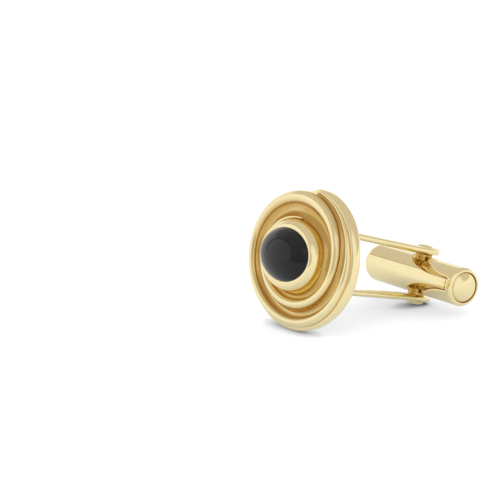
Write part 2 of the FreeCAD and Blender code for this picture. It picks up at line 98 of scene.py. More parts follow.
# The hollows and other shaded parts are painted a deeper, browner gold, as painted shade for the shade and
# repeated reflections in them, and are a little less glossy. The buff leaves hair-fine lines and a faintly uneven
# gloss.
gold_bright = (0.955, 0.84, 0.50, 1)
gold_deep = (0.92, 0.78, 0.42, 1)
gold_painted_shade = (0.62, 0.40, 0.12, 1)
gold_gloss = 0.10
gold_gloss_spread = 0.05
hollow_gloss = 0.14
shade_least = 0.8
shade_spread = 0.4
buff_mark_size = 0.9 * mm
buff_mark_detail = 4.0
buff_line_size = 0.12 * mm
buff_line_detail = 2.0
buff_depth = 0.002 * mm
buff_strength = 0.15


class Wire:
    """A socket of a node tree. Sums and products of wires add Math nodes to that tree."""

    def __init__(self, tree, socket=None):
        self.tree = tree
        self.socket = socket

    def node(self, kind, settings, links, output=0):
        made = self.tree.nodes.new(kind)
        for name, value in settings.items():
            setattr(made, name, value)
        for name, value in links.items():
            if isinstance(value, Wire):
                self.tree.links.new(value.socket, made.inputs[name])
            else:
                made.inputs[name].default_value = value
        return Wire(self.tree, made.outputs[output] if len(made.outputs) else None)

    def maths(self, operation, first, second=0.0):
        return self.node("ShaderNodeMath", {"operation": operation}, {0: first, 1: second})

    def noise(self, size, detail):
        place = self.node("ShaderNodeTexCoord", {}, {}, "Object")
        links = {"Vector": place, "Scale": 1 / size, "Detail": detail}
        return self.node("ShaderNodeTexNoise", {}, links, "Fac")

    def blend(self, share, first, second):
        return self.node("ShaderNodeMix", {"data_type": "RGBA"}, {"Factor": share, 6: first, 7: second}, 2)

    def __add__(self, other):
        return self.maths("ADD", self, other)

    __radd__ = __add__

    def __sub__(self, other):
        return self.maths("SUBTRACT", self, other)

    def __rsub__(self, other):
        return self.maths("SUBTRACT", other, self)

    def __mul__(self, other):
        return self.maths("MULTIPLY", self, other)

    __rmul__ = __mul__

    def __truediv__(self, other):
        return self.maths("DIVIDE", self, other)


def new_material(name):
    material = bpy.data.materials.new(name)
    material.use_nodes = True
    material.node_tree.nodes.clear()
    return material, Wire(material.node_tree)


def polished_gold():
    material, tree = new_material("polished_gold")
    marks = tree.noise(buff_mark_size, buff_mark_detail)
    lines = tree.noise(buff_line_size, buff_line_detail)
    # The painted shade stored on each piece's points blends the gold towards the darker, shaded colour.
    shade_share = tree.node("ShaderNodeAttribute", {"attribute_name": "painted_shade"}, {}, "Fac")
    shade_share = tree.maths("MINIMUM", shade_share * (shade_least + shade_spread * marks), 1.0)
    colour = tree.blend(shade_share, tree.blend(marks, gold_deep, gold_bright), gold_painted_shade)
    gloss = gold_gloss + gold_gloss_spread * (marks - 0.5) + hollow_gloss * shade_share
    dents = tree.node(
        "ShaderNodeBump", {}, {"Height": lines, "Strength": buff_strength, "Distance": buff_depth}
    )
    shader = tree.node(
        "ShaderNodeBsdfPrincipled",
        {},
        {"Base Color": colour, "Metallic": 1.0, "Roughness": gloss, "Normal": dents},
    )
    tree.node("ShaderNodeOutputMaterial", {}, {"Surface": shader})
    return material


def eased(shares, place):
    """Reads a table of shares at any place, along one smooth curve through its entries."""
    index = min(int(place), len(shares) - 2)
    part = place - index
    before = shares[max(index - 1, 0)]
    start = shares[index]
    end = shares[index + 1]
    after = shares[min(index + 2, len(shares) - 1)]
    start_slope = (end - before) / 2
    end_slope = (after - start) / 2
    bend = 3 * (end - start) - 2 * start_slope - end_slope
    twist = start_slope + end_slope - 2 * (end - start)
    return start + part * (start_slope + part * (bend + part * twist))


def smooth_step(value):
    value = max(0, min(1, value))
    return value * value * (3 - 2 * value)


def quarter_arc(step, steps):
    return step / steps * math.pi / 2


def angle_at(step):
    return step * 2 * math.pi / face_steps


def quarter_at(step):
    return step * turn_quarters / face_steps


def on_rise(share, angle, sink):
    x_half = foot_half_long * (1 - share) + face_half_long * share
    z_half = foot_half_short * (1 - share) + face_half_short * share
    level = dome_level * (1 - share) + plate_edge * share - sink
    centre = stone_height * (1 - share) - face_drop * share
    return Vector((x_half * math.cos(angle), -level, centre + z_half * math.sin(angle)))


def lapped(shares, turn, fullness=0.0):
    """A share along the last whole turn, with a short step where its end laps over its start."""
    first = len(shares) - 1 - turn_quarters
    if turn < 1:
        swell = fullness * tip_fullness_scale * turn**2 * (1 - turn)
        return eased(shares, first + turn_quarters - 1 + turn) + swell
    step_in = smooth_step((turn - 1) / tip_lead_share)
    return shares[-1] - step_in * (shares[-1] - eased(shares, first + turn - 1))


def edge_spot(step, inset, level):
    spot = on_rise(lapped(outline_shares, quarter_at(step), tip_fullness), angle_at(step), 0)
    keep = 1 - inset / face_half_short
    return Vector((spot.x * keep, -level, (spot.z + face_drop) * keep - face_drop))


def underside(step):
    return smooth_step(-math.sin(angle_at(step)))


def side_height(step):
    turn = quarter_at(step)
    lean = smooth_step(turn / tip_lean_span) if turn < 1 else 1 - smooth_step((turn - 1) / tip_lead_share)
    return side_level + (plate_round - side_level) * underside(step) - tip_lean * lean


def oval(half_long, half_short, level):
    """A ring round the stone's centre."""
    ring = []
    for step in range(face_steps):
        angle = angle_at(step)
        height = stone_height + half_short * math.sin(angle)
        ring.append(Vector((half_long * math.cos(angle), -level, height)))
    return ring


def skin(name, rings, place, painted_shades=()):
    """Closes a stack of equal rings into one smooth solid and sets it in its place."""
    solid = bmesh.new()
    painted_shade_layer = solid.verts.layers.float.new("painted_shade")
    loops = [[solid.verts.new(place @ spot) for spot in ring] for ring in rings]
    for loop, ring_shades in zip(loops, painted_shades):
        for corner, painted_shade in zip(loop, ring_shades):
            corner[painted_shade_layer] = painted_shade
    count = len(rings[0])
    for low, high in zip(loops, loops[1:]):
        for step in range(count):
            after = (step + 1) % count
            solid.faces.new((low[step], low[after], high[after], high[step]))
    solid.faces.new(loops[0])
    solid.faces.new(loops[-1])
    return finished(name, solid)


def finished(name, solid):
    bmesh.ops.remove_doubles(solid, verts=solid.verts, dist=merge_span)
    bmesh.ops.dissolve_degenerate(solid, edges=solid.edges, dist=merge_span)
    bmesh.ops.recalc_face_normals(solid, faces=solid.faces)
    mesh = bpy.data.meshes.new(name)
    solid.to_mesh(mesh)
    solid.free()
    mesh.shade_smooth()
    mesh.set_sharp_from_angle(angle=crease)
    piece = bpy.data.objects.new(name, mesh)
    bpy.context.scene.collection.objects.link(piece)
    return piece


def fit(piece, node, body, material):
    piece.data.materials.clear()
    piece.data.materials.append(material)
    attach(piece, body)
    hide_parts(node)


def ridges_at(turn, with_tip):
    """The inner and outer edges, from the stone outwards, of what rises from the plate at this turn."""
    found = [(0.0, 0.0)]
    first = (turn - tip_start) / (2 - tip_start) if turn < 2 else turn - 1
    if with_tip and first >= 0:
        found.append((eased(inner_edge_shares, first), eased(outer_edge_shares, first)))
    for lap in (1, 2):
        place = turn + (lap * turn_quarters - 1)
        if place <= swirl_quarters:
            found.append((eased(inner_edge_shares, place), eased(outer_edge_shares, place)))
    return found


def cove_sink(share, ridges, angle):
    """How far the plate is hollowed at a share of the rise, and how much painted shade the hollow gets there."""
    for (_, start), (end, _) in zip(ridges, ridges[1:]):
        if start < share < end:
            width = (on_rise(end, angle, 0) - on_rise(start, angle, 0)).length
            part = (share - start) / (end - start)
            sink = min(cove_share * width, cove_most) * (4 * part * (1 - part)) ** cove_fullness
            open_run = min(part, 1 - part) * width - dark_edge
            light = open_light * (start > 0) * (1 - left_painted_shade * smooth_step(-math.cos(angle)))
            return sink, 1 - light * smooth_step(open_run / dark_fade)
    return 0.0, 0.0


face_gold = polished_gold()
# The plate under the cup is painted fully shaded; its sides and back get no painted shade.
plate_rings = [oval(foot_half_long - cup_sink, foot_half_short - cup_sink, dome_level - cup_sink)]
plate_shades = [[1.0] * face_steps]
for share_step in range(cove_steps + 1):
    ring = []
    painted_shades = []
    for step in range(face_steps):
        angle = angle_at(step)
        turn = quarter_at(step)
        share = share_step / cove_steps * lapped(outer_edge_shares, turn)
        tip_weight = smooth_step((turn - tip_start) / tip_blend)
        tip_sink, tip_shade = cove_sink(share, ridges_at(turn, True), angle)
        sink, painted_shade = cove_sink(share, ridges_at(turn, False), angle)
        ring.append(on_rise(share, angle, tip_weight * tip_sink + (1 - tip_weight) * sink))
        painted_shades.append(tip_weight * tip_shade + (1 - tip_weight) * painted_shade)
    plate_rings.append(ring)
    plate_shades.append(painted_shades)
for side_step in range(1, side_steps):
    bow = quarter_arc(side_step, side_steps)
    ring = []
    for step in range(face_steps):
        rim = lapped(outer_edge_shares, quarter_at(step))
        outline = lapped(outline_shares, quarter_at(step), tip_fullness)
        corner = on_rise(rim + (outline - rim) * math.sin(bow), angle_at(step), 0)
        shoulder = -on_rise(rim, angle_at(step), 0).y
        level = side_height(step) + (shoulder - side_height(step)) * math.cos(bow)
        ring.append(Vector((corner.x, -level, corner.z)))
    plate_rings.append(ring)
    plate_shades.append([0.0] * face_steps)
for back_step in range(round_steps + 1):
    bow = quarter_arc(back_step, round_steps)
    ring = []
    for step in range(face_steps):
        back_round = min(side_height(step), side_round + (plate_round - side_round) * underside(step))
        ring.append(edge_spot(step, back_round * (1 - math.cos(bow)), back_round * (1 - math.sin(bow))))
    plate_rings.append(ring)
    plate_shades.append([0.0] * face_steps)
face_plate = skin("face_plate_piece", plate_rings, plate_place, plate_shades)
fit(face_plate, "face_plate", "face", face_gold)

# The swirl: one ridge of gold that leaves a point beside the stone, winds outwards twice while it
# widens, becomes the rim and ends in a point. It is cast with the plate, so its feet sink into it.
crest_shares = (0.50, 0.54, 0.54, 0.48, 0.42, 0.44, 0.44, 0.48, 0.40)
ridge_sink = 0.5 * mm
sink_fullness = 0.35
taper_share = 0.006
rim_start = 4.0
rim_whole = 4.6
# The ridge's feet are painted darker, as painted shade: the inner feet, the outer feet until the swirl becomes the
# rim, and a narrow, fainter band along the rim's outer foot.
rim_foot_power = 8.0
rim_foot_painted_shade = 0.8
swirl_steps = 960
swirl_around = 48
curve_samples = 33


def share_curve(tree, along, shares):
    curve = tree.node("ShaderNodeFloatCurve", {}, {"Value": along})
    mapping = curve.socket.node.mapping
    mapping.use_clip = False
    points = mapping.curves[0].points
    for sample in range(curve_samples):
        place = sample / (curve_samples - 1)
        share = eased(shares, place * swirl_quarters)
        if sample == 0:
            points[0].location = (place, share)
        elif sample == curve_samples - 1:
            points[len(points) - 1].location = (place, share)
        else:
            points.new(place, share)
    mapping.update()
    return curve


def swirl_tree(material):
    """Bends a unit grid, long by around, into the ridge, and stores the painted shade at its feet on the points.
    """
    group = bpy.data.node_groups.new("swirl", "GeometryNodeTree")
    group.interface.new_socket("Geometry", in_out="OUTPUT", socket_type="NodeSocketGeometry")
    sizes = {
        "Face half long": face_half_long,
        "Face half short": face_half_short,
        "Foot half long": foot_half_long,
        "Foot half short": foot_half_short,
        "Stone height": stone_height,
        "Face drop": face_drop,
        "Rise": dome_level - plate_edge,
        "Foot level": dome_level,
        "Sink": ridge_sink,
    }
    for name in sizes:
        group.interface.new_socket(name, in_out="INPUT", socket_type="NodeSocketFloat")
    tree = Wire(group)
    size = {name: tree.node("NodeGroupInput", {}, {}, name) for name in sizes}
    grid = tree.node(
        "GeometryNodeMeshGrid",
        {},
        {"Size X": 1.0, "Size Y": 1.0, "Vertices X": swirl_steps + 1, "Vertices Y": swirl_around + 1},
    )
    spot = tree.node("GeometryNodeInputPosition", {}, {})
    along = tree.node("ShaderNodeSeparateXYZ", {}, {0: spot}, "X") + 0.5
    around = (tree.node("ShaderNodeSeparateXYZ", {}, {0: spot}, "Y") + 0.5) * (2 * math.pi)
    quarter = along * swirl_quarters
    lag = tree.maths("MAXIMUM", 1 - quarter, 0.0) * (tip_start - 1)
    angle = (quarter + 1 + lag) * (math.pi / 2)
    inner = share_curve(tree, along, inner_edge_shares)
    outer = share_curve(tree, along, outer_edge_shares)
    crest = share_curve(tree, along, crest_shares)
    start_taper = tree.maths("MINIMUM", along / taper_share, 1.0)
    end_taper = tree.maths("MINIMUM", (1 - along) / taper_share, 1.0)
    taper = tree.maths("SQRT", start_taper * end_taper)
    across = tree.maths("COSINE", around)
    upward = tree.maths("SINE", around)
    share = (inner + outer) * 0.5 - across * taper * (outer - inner) * 0.5
    cosine = tree.maths("COSINE", angle)
    sine = tree.maths("SINE", angle)
    run_x = (size["Face half long"] - size["Foot half long"]) * cosine
    run_z = (size["Face half short"] - size["Foot half short"]) * sine
    run_z = run_z - size["Stone height"] - size["Face drop"]
    run = tree.maths("SQRT", run_x * run_x + run_z * run_z + size["Rise"] * size["Rise"])
    top = tree.maths("MAXIMUM", upward, 0.0) * crest * (outer - inner) * run * taper
    plunge = tree.maths("POWER", tree.maths("MAXIMUM", 0 - upward, 0.0), sink_fullness)
    bottom = plunge * size["Sink"] * taper * -1
    lift = top + bottom
    lean = size["Rise"] / run
    x = size["Foot half long"] * cosine + share * run_x + lift * lean * cosine
    y = share * size["Rise"] - size["Foot level"] - lift
    z = size["Stone height"] + size["Foot half short"] * sine + share * run_z + lift * lean * sine
    place = tree.node("ShaderNodeCombineXYZ", {}, {"X": x, "Y": y, "Z": z})
    inward = tree.maths("MAXIMUM", across, 0.0)
    outward = tree.maths("MAXIMUM", across * -1, 0.0)
    within_rim = tree.node(
        "ShaderNodeMapRange",
        {},
        {"Value": quarter, "From Min": rim_start, "From Max": rim_whole, "To Min": 1.0, "To Max": 0.0},
    )
    outside = outward * within_rim
    rim_foot = tree.maths("POWER", outward, rim_foot_power) * rim_foot_painted_shade
    cove_feet = inward * inward * inward + outside * outside * outside
    painted_shade = tree.maths("MAXIMUM", cove_feet, rim_foot) * taper
    marked = tree.node(
        "GeometryNodeStoreNamedAttribute",
        {"data_type": "FLOAT", "domain": "POINT"},
        {"Geometry": grid, "Name": "painted_shade", "Value": painted_shade},
    )
    ridge = tree.node("GeometryNodeSetPosition", {}, {"Geometry": marked, "Position": place})
    smooth = tree.node("GeometryNodeSetShadeSmooth", {}, {"Geometry": ridge})
    real = tree.node("GeometryNodeRealizeInstances", {}, {"Geometry": smooth})
    painted = tree.node("GeometryNodeSetMaterial", {}, {"Geometry": real, "Material": material})
    tree.node("NodeGroupOutput", {}, {"Geometry": painted})
    return group, sizes


def grown(name, group, sizes, place):
    """Grows a Geometry Nodes tree on an empty mesh, and keeps the result as a plain piece."""
    seed = bpy.data.objects.new(name + "_seed", bpy.data.meshes.new(name + "_seed"))
    bpy.context.scene.collection.objects.link(seed)
    modifier = seed.modifiers.new(name, "NODES")
    modifier.node_group = group
    for socket in group.interface.items_tree:
        if socket.in_out == "INPUT":
            modifier[socket.identifier] = sizes[socket.name]
    bpy.context.view_layer.update()
    evaluated = seed.evaluated_get(bpy.context.evaluated_depsgraph_get())
    mesh = bpy.data.meshes.new_from_object(evaluated)
    solid = bmesh.new()
    solid.from_mesh(mesh)
    seed.modifiers.clear()
    bpy.data.objects.remove(seed)
    solid.transform(place)
    return finished(name, solid)


swirl_ridge = grown("swirl_ridge_piece", *swirl_tree(face_gold), plate_place)
fit(swirl_ridge, "swirl_ridge", "face", face_gold)

# The bezel cup: a leaning oval wall of gold round the stone, let into the plate. Its rounded lip is
# burnished inwards over the edge of the stone.
lip_level = 3.52 * mm
stone_level = 2.8 * mm
stone_half_long = 4.9 * mm
stone_half_short = 3.275 * mm
stone_dome = 2.2 * mm
wall_steps = 48
wall_fullness = 2.4


def stone_scale(level):
    return math.sqrt(max(0, 1 - ((level - stone_level) / stone_dome) ** 2))


cup_rings = [oval(foot_half_long, foot_half_short, dome_level - cup_sink)]
lip_inner_long = stone_half_long * stone_scale(lip_level)
lip_inner_short = stone_half_short * stone_scale(lip_level)
for step in range(wall_steps + 1):
    bow = quarter_arc(step, wall_steps)
    lean = max(0, math.cos(bow)) ** (2 / wall_fullness)
    half_long = lip_inner_long + (foot_half_long - lip_inner_long) * lean
    half_short = lip_inner_short + (foot_half_short - lip_inner_short) * lean
    level = dome_level + (lip_level - dome_level) * math.sin(bow) ** (2 / wall_fullness)
    cup_rings.append(oval(half_long, half_short, level))
cup_rings.append(oval(stone_half_long, stone_half_short, dome_level - cup_sink))
bezel_cup = skin("bezel_cup_piece", cup_rings, face_place)
fit(bezel_cup, "bezel_cup", "face", face_gold)

# The stone: an oval cabochon of black onyx, a straight girdle under a high dome, polished like glass.
# It sits in the cup, held by the lip.
onyx_black = (0.002, 0.002, 0.0023, 1)
onyx_grey = (0.007, 0.007, 0.0075, 1)
onyx_band_size = 3.0 * mm
onyx_band_detail = 3.0
onyx_gloss = 0.05
onyx_gloss_spread = 0.02
onyx_ior = 1.54
onyx_shine = 0.3
stone_base = 1.6 * mm
dome_steps = 90


def polished_onyx():
    material, tree = new_material("polished_onyx")
    bands = tree.noise(onyx_band_size, onyx_band_detail)
    shader = tree.node(
        "ShaderNodeBsdfPrincipled",
        {},
        {
            "Base Color": tree.blend(bands, onyx_black, onyx_grey),
            "Roughness": onyx_gloss + onyx_gloss_spread * bands,
            "IOR": onyx_ior,
            "Specular IOR Level": onyx_shine,
        },
    )
    tree.node("ShaderNodeOutputMaterial", {}, {"Surface": shader})
    return material


stone_rings = [oval(stone_half_long, stone_half_short, stone_base)]
for step in range(dome_steps):
    bow = quarter_arc(step, dome_steps)
    scale = math.cos(bow)
    level = stone_level + stone_dome * math.sin(bow)
    stone_rings.append(oval(stone_half_long * scale, stone_half_short * scale, level))
onyx_cabochon = skin("onyx_cabochon_piece", stone_rings, face_place)
fit(onyx_cabochon, "onyx_cabochon", "face", polished_onyx())

# The arms: drawn gold wire, soldered square into the plate, then leaning inwards and hammered
# broader and flatter up to the round end, the eye, that the rivet goes through.
wire_half = 0.4 * mm
arm_root_height = 3.51 * mm
arm_inner = 2.475 * mm
arm_foot = 2.2 * mm
arm_seat = 0.6 * mm
bend_span = 0.9 * mm
rivet_reach = 16.75 * mm
eye_half = 1.4 * mm
eye_beyond = 1.8 * mm
eye_fullness = 2.6
eye_squareness = 0.72
upper_eye_thick = 0.9 * mm
lower_eye_thick = 0.74 * mm
solder_flare = 0.14 * mm
solder_span = 0.5 * mm
arm_steps = 170
arm_around = 48
eye_steps = 3 * round_steps


def arm_height(reach, eye_half_thick):
    lean_end = rivet_reach - eye_half
    slope = (arm_inner + eye_half_thick - arm_root_height) / (lean_end - arm_foot)
    height = arm_root_height
    for bend, turn in ((arm_foot, slope), (lean_end, -slope)):
        part = max(-1, min(1, (reach - bend) / bend_span))
        height += turn * (bend_span * (1 + part) ** 2 / 4 + max(0, reach - bend - bend_span))
    return height


def arm_half_width(reach):
    beyond = (reach - rivet_reach) / eye_beyond
    if beyond > 0:
        return eye_half * (1 - min(1, beyond) ** eye_fullness) ** (1 / eye_fullness)
    root = solder_flare * max(0, 1 - reach / solder_span) ** 2 if reach >= 0 else 0
    broad = smooth_step((reach - arm_foot) / bend_span / 2) * (reach - arm_foot) / (rivet_reach - arm_foot)
    return wire_half + root + (eye_half - wire_half) * max(0, broad)


def arm_ring(side, reach, eye_half_thick):
    half_width = arm_half_width(reach)
    flat = max(0, min(1, (reach - arm_foot) / (rivet_reach - arm_foot)))
    half_thick = wire_half + (eye_half_thick - wire_half) * flat
    if 0 <= reach < solder_span:
        half_thick = half_width
    power = 1 + eye_squareness * flat
    ring = []
    for step in range(arm_around):
        angle = step * 2 * math.pi / arm_around
        across = math.copysign(abs(math.cos(angle)) ** (1 / power), math.cos(angle))
        over = math.copysign(abs(math.sin(angle)) ** (1 / power), math.sin(angle))
        height = side * (arm_height(reach, eye_half_thick) + half_thick * over)
        ring.append(Vector((half_width * across, reach, height)))
    return ring


for arm_name, side, eye_thick in (("upper_arm", 1, upper_eye_thick), ("lower_arm", -1, lower_eye_thick)):
    arm_rings = []
    for step in range(arm_steps):
        part = step / arm_steps
        reach = -arm_seat + part * (rivet_reach + arm_seat)
        arm_rings.append(arm_ring(side, reach, eye_thick / 2))
    for step in range(eye_steps):
        reach = rivet_reach + eye_beyond * math.sin(quarter_arc(step, eye_steps))
        arm_rings.append(arm_ring(side, reach, eye_thick / 2))
    fit(skin(arm_name + "_piece", arm_rings, face_place), arm_name, "face", face_gold)

# The rivet: a gold pin through both eyes and the toggle, with a low domed head upset at each end.
# Its waist, inside the toggle, is where the plunger rests on it.
swivel = next(joint for joint in frame["joints"] if joint["name"] == "toggle_swivel")
pivot_place = Matrix.Translation(swivel["pos_m"]) @ Matrix.Rotation(-tilt, 4, "X")
pin_half = 0.55 * mm
waist_half = 0.47 * mm
waist_reach = 0.9 * mm
head_half = 1.05 * mm
head_seat = 3.195 * mm
head_tall = 0.45 * mm
head_brim = 0.1 * mm
head_steps = 3 * round_steps
turned_steps = 96


def turned(name, profile, axis, place, painted_shades=()):
    """Turns a profile of (radius, height) pairs about an axis into one smooth solid."""
    rings = []
    for radius, height in profile:
        ring = []
        for step in range(turned_steps):
            angle = step * 2 * math.pi / turned_steps
            first = radius * math.cos(angle)
            second = radius * math.sin(angle)
            spot = (first, second, height) if axis == "Z" else (height, first, second)
            ring.append(Vector(spot))
        rings.append(ring)
    return skin(name, rings, place, [[painted_shade] * turned_steps for painted_shade in painted_shades])


def head_profile(sign):
    profile = [(head_half - head_brim, sign * head_seat)]
    for step in range(round_steps + 1):
        bow = quarter_arc(step, round_steps)
        radius = head_half - head_brim + head_brim * math.sin(bow)
        profile.append((radius, sign * (head_seat + head_brim * (1 - math.cos(bow)))))
    for step in range(1, head_steps):
        bow = quarter_arc(step, head_steps)
        radius = head_half * math.cos(bow)
        profile.append((radius, sign * (head_seat + head_brim + (head_tall - head_brim) * math.sin(bow))))
    return profile


rivet_profile = head_profile(-1)[::-1]
rivet_profile += [(pin_half, -head_seat), (pin_half, -waist_reach), (waist_half, -waist_reach)]
rivet_profile += [(waist_half, waist_reach), (pin_half, waist_reach), (pin_half, head_seat)]
rivet_profile += head_profile(1)
pivot_rivet = turned("pivot_rivet_piece", rivet_profile, "Z", pivot_place)
fit(pivot_rivet, "pivot_rivet", "face", face_gold)

# The collars: small flanged gold rings, slipped over the rivet to keep each arm clear of the toggle.
# They are painted all over in the deeper gold of the hollows, as painted shade.
collar_neck_half = 0.98 * mm
collar_half = 1.0 * mm
collar_foot = 1.03 * mm
collar_flange = 0.42 * mm
collar_bevel = 0.05 * mm
flange_foot = arm_inner - collar_flange
for collar_name, side in (("upper_collar", 1), ("lower_collar", -1)):
    collar_profile = [
        (pin_half, collar_foot),
        (collar_neck_half, collar_foot),
        (collar_neck_half, flange_foot),
        (collar_half - collar_bevel, flange_foot),
        (collar_half, flange_foot + collar_bevel),
        (collar_half, arm_inner - collar_bevel),
        (collar_half - collar_bevel, arm_inner),
        (pin_half, arm_inner),
    ]
    collar_profile = [(radius, side * height) for radius, height in collar_profile]
    collar = turned(collar_name + "_piece", collar_profile, "Z", pivot_place, [1.0] * len(collar_profile))
    fit(collar, collar_name, "face", face_gold)

# The toggle's body: a gold bar with a rounded end, scooped above and below from the rivet onwards,
# which leaves a tongue. The tongue and the round stem in its middle enter the sleeve.
toggle_half = 2.275 * mm
body_low, body_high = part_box("toggle_body")
toggle_end_round = 1.3 * mm
bar_start = body_low.x + toggle_end_round
scoop_radius = 13.0 * mm
scoop_reach = 5.0 * mm
# The floor of each scoop is painted darker as painted shade, more where it is cut deeper, and the stem is painted
# with the same shade.
scoop_shade = 0.5 * mm
scoop_painted_shade = 0.45
tongue_half = 0.62 * mm
tongue_reach = 7.42 * mm
stem_half = 1.7 * mm
stem_start = 0.3 * mm
stem_nose = 1.2 * mm
boss_height = 2.03 * mm
boss_reach = 0.2 * mm
boss_fade = 1.8 * mm
edge_round = 0.06 * mm
section_arc_steps = 40
section_corner_steps = 6
section_flat_steps = 12
body_steps = 150
end_steps = 3 * round_steps
nose_steps = 4 * round_steps


def clipped_round(reach, radius, half_height, corner, swell=0.0):
    """A round section of the bar whose top and bottom are cut off, with eased corners."""
    corner = min(corner, radius / 2)
    inner_radius = radius - corner
    inner_height = min(half_height - corner, inner_radius)
    spread = math.asin(inner_height / inner_radius)
    corner_x = inner_radius * math.cos(spread)
    quarter = []
    for step in range(section_arc_steps):
        angle = spread * step / section_arc_steps
        quarter.append((radius * math.cos(angle), radius * math.sin(angle)))
    for step in range(section_corner_steps):
        angle = spread + (math.pi / 2 - spread) * step / section_corner_steps
        quarter.append((corner_x + corner * math.cos(angle), inner_height + corner * math.sin(angle)))
    for step in range(section_flat_steps):
        part = 1 - step / section_flat_steps
        quarter.append((corner_x * part, inner_height + corner + swell * (1 - part**2)))
    top = inner_height + corner + swell
    right = quarter + [(0, top)] + [(-y, z) for y, z in quarter[::-1]]
    left = [(-y, -z) for y, z in quarter[1:]] + [(0, -top)] + [(y, -z) for y, z in quarter[:0:-1]]
    return [Vector((reach, y, z)) for y, z in right + left]


def joined(name, parts):
    """Puts several closed shells together as one piece."""
    whole = bmesh.new()
    for part in parts:
        whole.from_mesh(part.data)
        bpy.data.objects.remove(part)
    return finished(name, whole)


def scoop_height(reach):
    run = min(0, reach - scoop_reach)
    return tongue_half + scoop_radius - math.sqrt(max(0, scoop_radius**2 - run**2))


body_rings = []
body_shades = []
for step in range(1, end_steps):
    bow = quarter_arc(step, end_steps)
    radius = toggle_half - toggle_end_round + toggle_end_round * math.sin(bow)
    reach = body_low.x + toggle_end_round * (1 - math.cos(bow))
    body_rings.append(clipped_round(reach, radius, 2 * radius, edge_round))
    body_shades.append([0.0] * len(body_rings[-1]))
for step in range(body_steps + 1):
    reach = bar_start + (tongue_reach - bar_start) * step / body_steps
    height = scoop_height(reach)
    swell = max(0, boss_height - height) * (1 - smooth_step((reach - boss_reach) / boss_fade))
    body_rings.append(clipped_round(reach, toggle_half, height, edge_round, swell))
    floor_shade = scoop_painted_shade * smooth_step((toggle_half - height) / scoop_shade)
    body_shades.append([floor_shade * (abs(spot.z) > height - merge_span) for spot in body_rings[-1]])
stem_profile = []
for step in range(1, nose_steps + 1):
    bow = quarter_arc(step, nose_steps)
    stem_profile.append((stem_half * math.sin(bow), stem_start + stem_nose * (1 - math.cos(bow))))
stem_profile.append((stem_half, body_high.x))
bar = skin("bar", body_rings, pivot_place, body_shades)
stem = turned("stem", stem_profile, "X", pivot_place, [scoop_painted_shade] * len(stem_profile))
toggle_body = joined("toggle_body_piece", (bar, stem))
fit(toggle_body, "toggle_body", "toggle", face_gold)

# The sleeve: a round gold fork that closes over the tongue with two lobes, one above and one below,
# parted by a flared notch. Its open end is turned over slightly to hold the plug.
sleeve_low, sleeve_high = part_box("toggle_sleeve")
notch_radius = 12.3 * mm
notch_reach = 7.5 * mm
notch_half_tip = 0.7 * mm
# The lobes' flat faces in the notch are painted darker, as painted shade.
notch_painted_shade = 0.7
sleeve_round = 0.42 * mm
plug_half = 1.84 * mm
plug_seat = 7.75 * mm
lobe_round = 0.18 * mm
lobe_round_share = 0.22
lobe_least = 0.12 * mm
lobe_steps = 80


def notch_height(reach):
    return notch_half_tip + notch_radius - math.sqrt(notch_radius**2 - (notch_reach - reach) ** 2)


def lobe_ring(side, reach):
    """A segment of the sleeve's round above the notch, with eased corners."""
    height = min(notch_height(reach), toggle_half - lobe_least)
    corner = min(lobe_round, (toggle_half - height) * lobe_round_share)
    inner_radius = toggle_half - corner
    inner_height = height + corner
    spread = math.asin(inner_height / inner_radius)
    corner_y = inner_radius * math.cos(spread)
    half = []
    for step in range(section_arc_steps):
        angle = math.pi / 2 - (math.pi / 2 - spread) * step / section_arc_steps
        half.append((toggle_half * math.cos(angle), toggle_half * math.sin(angle)))
    for step in range(section_corner_steps):
        angle = spread - (math.pi / 2 + spread) * step / section_corner_steps
        half.append((corner_y + corner * math.cos(angle), inner_height + corner * math.sin(angle)))
    for step in range(section_flat_steps):
        half.append((corner_y * (1 - step / section_flat_steps), height))
    loop = half + [(0, height)] + [(-y, z) for y, z in half[:0:-1]]
    return [Vector((reach, y, side * z)) for y, z in loop]


def lobe_rings(side):
    rings = []
    for step in range(lobe_steps + 1):
        part = math.sin(quarter_arc(step, lobe_steps))
        rings.append(lobe_ring(side, sleeve_low.x + (notch_reach - sleeve_low.x) * part))
    return rings


sleeve_profile = [(0, notch_reach), (toggle_half, notch_reach)]
for step in range(round_steps + 1):
    bow = quarter_arc(step, round_steps)
    radius = toggle_half - sleeve_round * (1 - math.cos(bow))
    sleeve_profile.append((radius, sleeve_high.x - sleeve_round + sleeve_round * math.sin(bow)))
sleeve_profile += [(plug_half, sleeve_high.x), (plug_half, plug_seat), (0, plug_seat)]
round_shade = [0.0] * (section_arc_steps + section_corner_steps)
notch_shade = [notch_painted_shade] * (2 * section_flat_steps + 1)
lobe_shades = [round_shade + notch_shade + round_shade[1:]] * (lobe_steps + 1)
lobes = [skin("lobe", lobe_rings(side), pivot_place, lobe_shades) for side in (1, -1)]
end_ring = turned("end_ring", sleeve_profile, "X", pivot_place)
toggle_sleeve = joined("toggle_sleeve_piece", (*lobes, end_ring))
fit(toggle_sleeve, "toggle_sleeve", "toggle", face_gold)

